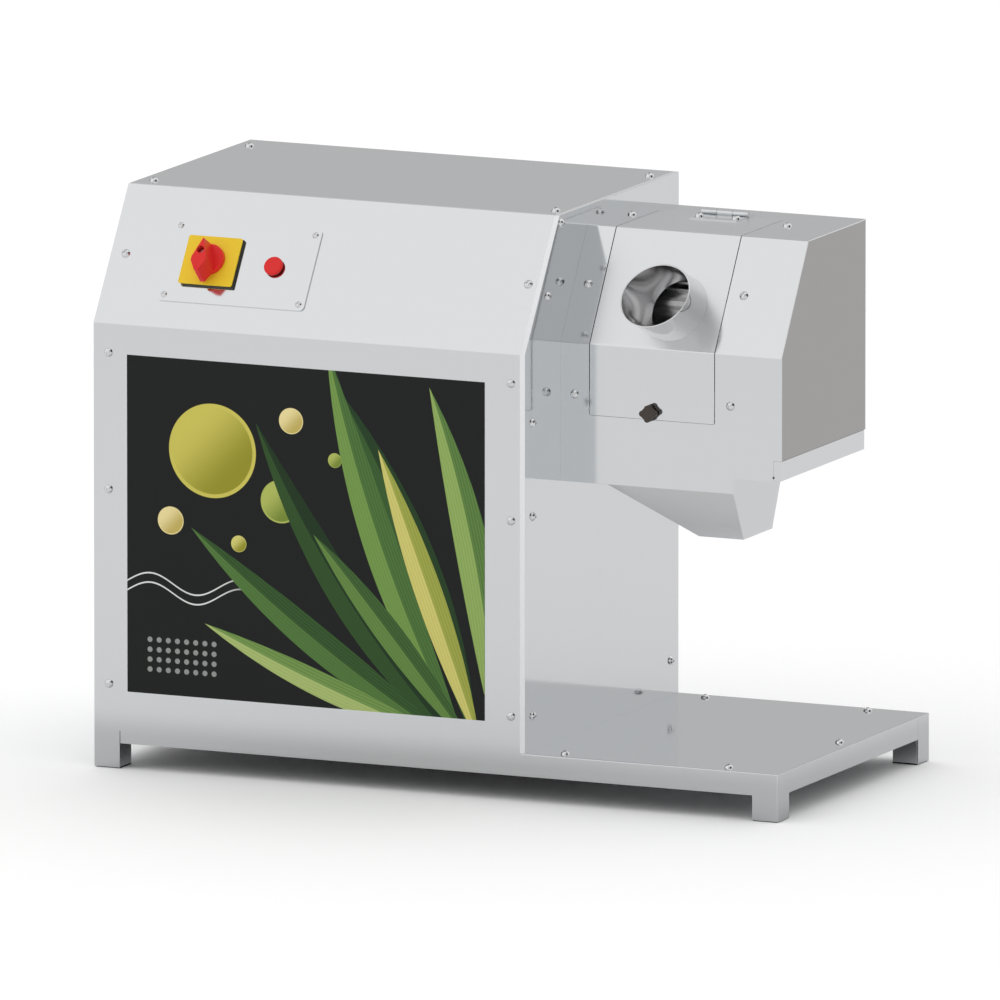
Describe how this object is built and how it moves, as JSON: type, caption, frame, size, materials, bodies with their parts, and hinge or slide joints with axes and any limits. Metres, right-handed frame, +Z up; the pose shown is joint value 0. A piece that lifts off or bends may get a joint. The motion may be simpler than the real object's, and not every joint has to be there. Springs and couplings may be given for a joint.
{
  "type": "sugarcane juicer",
  "caption": "Table-top sugarcane juicer: steel cabinet with motor and gearbox, overhung head with geared rollers, hinged feed door with tube, juice funnel and jug deck.",
  "frame": {"origin": "on the floor under the middle of the machine's bounding box", "axes": "+X to the right along the front, from the cabinet to the deck; +Y from the front to the back; +Z up"},
  "size_m": [0.78, 0.3968, 0.6074],
  "materials": {
    "satin_steel": "satin brushed stainless sheet",
    "end_steel": "satin stainless sheet, warm grey",
    "deck_steel": "smooth stainless, slightly mirror-like",
    "polished_steel": "polished stainless tube",
    "screw_steel": "bright dome-head screws",
    "roller_steel": "turned and fluted stainless",
    "gear_steel": "machined gear steel, oiled",
    "frame_steel": "grey primed frame steel",
    "print": "printed sheet, dark with green and yellow shapes",
    "black_plastic": "fine-grained black",
    "yellow_plastic": "yellow switch plate",
    "red_plastic": "red switch handle and button",
    "knob_plastic": "dark brown-black knob",
    "glide_rubber": "black glides",
    "belt_rubber": "black V-belt",
    "bronze": "turned bronze",
    "motor_paint": "blue-grey motor paint",
    "iron": "painted cast iron"
  },
  "bodies": {
    "frame": {"front_panel": "satin_steel", "rear_panel": "satin_steel", "left_panel": "satin_steel", "top_cover": "satin_steel", "control_plate": "satin_steel", "head_shell": "satin_steel", "head_rear_panel": "satin_steel", "head_floor_pan": "satin_steel", "juice_funnel": "satin_steel", "right_skirt": "satin_steel", "leg_posts": "satin_steel", "hinge_fixed_leaf": "satin_steel", "hinge_pin": "satin_steel", "side_plate": "satin_steel", "end_panel": "end_steel", "deck_plate": "deck_steel", "panel_screws": "screw_steel", "control_plate_screws": "screw_steel", "outer_roller_plate": "roller_steel", "tie_bars": "roller_steel", "side_plate_frame": "frame_steel", "floor_plate": "frame_steel", "long_beams": "frame_steel", "cross_beams": "frame_steel", "head_frame": "frame_steel", "gearbox_shelf": "frame_steel", "graphic_panel": "print", "switch_body": "black_plastic", "button_collar": "black_plastic", "button_contacts": "black_plastic", "cable_gland": "black_plastic", "switch_face_plate": "yellow_plastic", "foot_glides": "glide_rubber", "drive_belt": "belt_rubber", "shaft_bushes": "bronze", "motor_body": "motor_paint", "motor_end_covers": "motor_paint", "gearbox_housing": "iron", "gearbox_cover": "iron"},
    "door": {"door_panel": "satin_steel", "feed_tube": "polished_steel", "hinge_door_leaf": "satin_steel", "hinge_screws": "screw_steel"},
    "latch": {"latch_knob": "knob_plastic", "latch_tongue": "roller_steel"},
    "switch_handle": {"switch_handle": "red_plastic"},
    "stop_button": {"button_cap": "red_plastic"},
    "motor_rotor": {"motor_rotor": "gear_steel", "motor_pulley": "iron"},
    "gearbox_input": {"input_shaft": "gear_steel", "input_pulley": "iron"},
    "countershaft": {"countershaft": "gear_steel"},
    "top_roller": {"top_roller": "roller_steel", "top_roller_gear": "gear_steel", "shaft_coupling": "gear_steel", "output_gear": "gear_steel"},
    "front_roller": {"front_roller": "roller_steel", "front_roller_gear": "gear_steel"},
    "rear_roller": {"rear_roller": "roller_steel", "rear_roller_gear": "gear_steel"}
  },
  "joints": [
    {"name": "door_hinge", "type": "hinge", "parent": "frame", "child": "door", "pos_m": [0.2128, 0.0686, 0.5877], "axis": [-1, 0, 0], "range_deg": [0, 110]},
    {"name": "latch_turn", "type": "hinge", "parent": "door", "child": "latch", "pos_m": [0.2056, -0.1055, 0.4035], "axis": [0, 1, 0], "range_deg": [0, 90]},
    {"name": "switch_turn", "type": "hinge", "parent": "frame", "child": "switch_handle", "pos_m": [-0.2727, -0.1534, 0.5346], "axis": [0, -0.8369, 0.5474], "range_deg": [0, 90]},
    {"name": "stop_press", "type": "slide", "parent": "frame", "child": "stop_button", "axis": [0, 0.8369, -0.5474], "range_m": [0, 0.0022], "stiffness_N_per_m": 400},
    {"name": "input_spin", "type": "hinge", "parent": "frame", "child": "gearbox_input", "pos_m": [-0.128, 0.003, 0.5], "axis": [1, 0, 0], "continuous": true},
    {"name": "motor_spin", "type": "hinge", "parent": "frame", "child": "motor_rotor", "pos_m": [-0.15, 0.003, 0.15], "axis": [1, 0, 0], "continuous": true},
    {"name": "counter_spin", "type": "hinge", "parent": "frame", "child": "countershaft", "pos_m": [-0.128, 0.003, 0.42], "axis": [1, 0, 0], "continuous": true},
    {"name": "top_roller_spin", "type": "hinge", "parent": "frame", "child": "top_roller", "pos_m": [0.103, 0.003, 0.5], "axis": [1, 0, 0], "continuous": true},
    {"name": "front_roller_spin", "type": "hinge", "parent": "frame", "child": "front_roller", "pos_m": [0.103, -0.03932, 0.44175], "axis": [1, 0, 0], "continuous": true},
    {"name": "rear_roller_spin", "type": "hinge", "parent": "frame", "child": "rear_roller", "pos_m": [0.103, 0.04532, 0.44175], "axis": [1, 0, 0], "continuous": true}
  ],
  "couplings": [
    {"joint": "motor_spin", "follows": "input_spin", "ratio": 2.5},
    {"joint": "counter_spin", "follows": "input_spin", "ratio": -0.33333},
    {"joint": "top_roller_spin", "follows": "input_spin", "ratio": 0.11111},
    {"joint": "front_roller_spin", "follows": "input_spin", "ratio": -0.11111},
    {"joint": "rear_roller_spin", "follows": "input_spin", "ratio": -0.11111}
  ]
}
